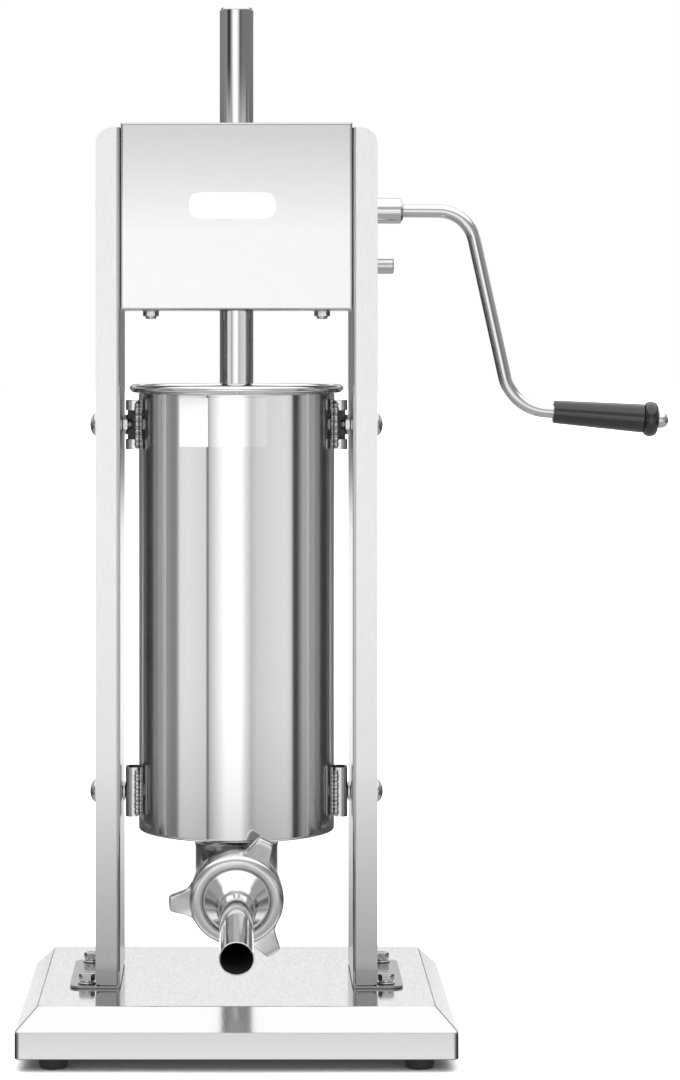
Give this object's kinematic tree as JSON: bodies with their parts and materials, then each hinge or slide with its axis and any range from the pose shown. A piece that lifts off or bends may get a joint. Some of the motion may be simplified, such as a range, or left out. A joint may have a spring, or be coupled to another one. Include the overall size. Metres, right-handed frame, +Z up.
{
  "type": "vertical sausage stuffer",
  "caption": "Free-standing hand-cranked sausage stuffer: polished cylinder between two columns, geared crank and rack-driven piston, elbow outlet with wing nut and tube.",
  "frame": {"origin": "middle of the whole machine's box, on the floor under its feet", "axes": "+Z up; the outlet faces -Y and the crank is on the +X side"},
  "size_m": [0.4678, 0.3298, 0.7433],
  "materials": {
    "polished_stainless": "mirror-polished stainless steel",
    "brushed_stainless": "satin stainless sheet",
    "zinc_steel": "zinc-plated steel",
    "bronze": "sintered bronze",
    "foot_rubber": "matt black rubber",
    "piston_aluminium": "polished",
    "seal_silicone": "white silicone",
    "valve_plastic": "white nylon",
    "grip_plastic": "glossy black",
    "badge_plastic": "plain white"
  },
  "bodies": {
    "frame": {"badge_plate": "badge_plastic", "base_pan": "polished_stainless", "bracket_lower_left": "polished_stainless", "bracket_lower_right": "polished_stainless", "bracket_upper_left": "polished_stainless", "bracket_upper_right": "polished_stainless", "column_cover_left": "brushed_stainless", "column_cover_right": "brushed_stainless", "column_left": "brushed_stainless", "column_right": "brushed_stainless", "cylinder_barrel": "polished_stainless", "foot_bolt_front_left": "zinc_steel", "foot_bolt_front_right": "zinc_steel", "foot_bolt_rear_left": "zinc_steel", "foot_bolt_rear_right": "zinc_steel", "foot_front_left": "foot_rubber", "foot_front_right": "foot_rubber", "foot_rear_left": "foot_rubber", "foot_rear_right": "foot_rubber", "housing_bolt_left": "zinc_steel", "housing_bolt_right": "zinc_steel", "housing_bottom_plate": "brushed_stainless", "housing_front_cover": "brushed_stainless", "housing_rear_cover": "brushed_stainless", "housing_top_plate": "brushed_stainless", "input_bush_left": "bronze", "input_bush_right": "bronze", "outlet_elbow": "polished_stainless", "outlet_seal": "seal_silicone", "output_bush_left": "bronze", "output_bush_right": "bronze", "pivot_bolt_lower_left": "zinc_steel", "pivot_bolt_lower_right": "zinc_steel", "pivot_bolt_upper_left": "zinc_steel", "pivot_bolt_upper_right": "zinc_steel", "pivot_nut_lower_left": "zinc_steel", "pivot_nut_lower_right": "zinc_steel", "pivot_nut_upper_left": "zinc_steel", "pivot_nut_upper_right": "zinc_steel", "rod_bush_lower": "bronze", "rod_bush_upper": "bronze"},
    "input": {"input_shaft": "zinc_steel"},
    "output": {"output_shaft": "zinc_steel", "large_gear": "zinc_steel"},
    "piston": {"piston_rod": "polished_stainless", "piston_plate": "piston_aluminium", "piston_seal": "seal_silicone", "piston_nut": "zinc_steel"},
    "valve": {"air_valve": "valve_plastic"},
    "crank": {"crank_hub": "polished_stainless", "crank_arm": "polished_stainless", "grip_cap": "polished_stainless"},
    "grip": {"grip_sleeve": "grip_plastic"},
    "tube": {"stuffing_tube": "polished_stainless"},
    "nut": {"ring_nut": "polished_stainless"}
  },
  "joints": [
    {"name": "crank_turn", "type": "hinge", "parent": "frame", "child": "input", "pos_m": [-0.08161, 0.06012, 0.597], "axis": [1, 0, 0], "range_deg": [-1975, 2160]},
    {"name": "gear_turn", "type": "hinge", "parent": "frame", "child": "output", "pos_m": [-0.08161, 0.06012, 0.557], "axis": [1, 0, 0], "range_deg": [-985, 900]},
    {"name": "piston_travel", "type": "slide", "parent": "frame", "child": "piston", "axis": [0, 0, 1], "range_m": [-0.157, 0.172]},
    {"name": "valve_lift", "type": "slide", "parent": "piston", "child": "valve", "axis": [0, 0, 1], "range_m": [0, 0.003]},
    {"name": "crank_pull", "type": "slide", "parent": "input", "child": "crank", "axis": [1, 0, 0], "range_m": [0, 0.028]},
    {"name": "grip_spin", "type": "hinge", "parent": "crank", "child": "grip", "pos_m": [0.11919, 0.06012, 0.4526], "axis": [0.9972, 0, -0.075], "continuous": true},
    {"name": "tube_travel", "type": "slide", "parent": "frame", "child": "tube", "axis": [0, -0.9877, -0.1564], "range_m": [0, 0.0121]},
    {"name": "nut_turn", "type": "hinge", "parent": "tube", "child": "nut", "pos_m": [-0.08161, -0.04888, 0.111], "axis": [0, -0.9877, -0.1564], "range_deg": [0, 1440]}
  ],
  "couplings": [
    {"joint": "gear_turn", "follows": "crank_turn", "ratio": -0.45455},
    {"joint": "piston_travel", "follows": "crank_turn", "m_per_rad": 0.0045455},
    {"joint": "tube_travel", "follows": "nut_turn", "m_per_rad": 0.00047746}
  ]
}
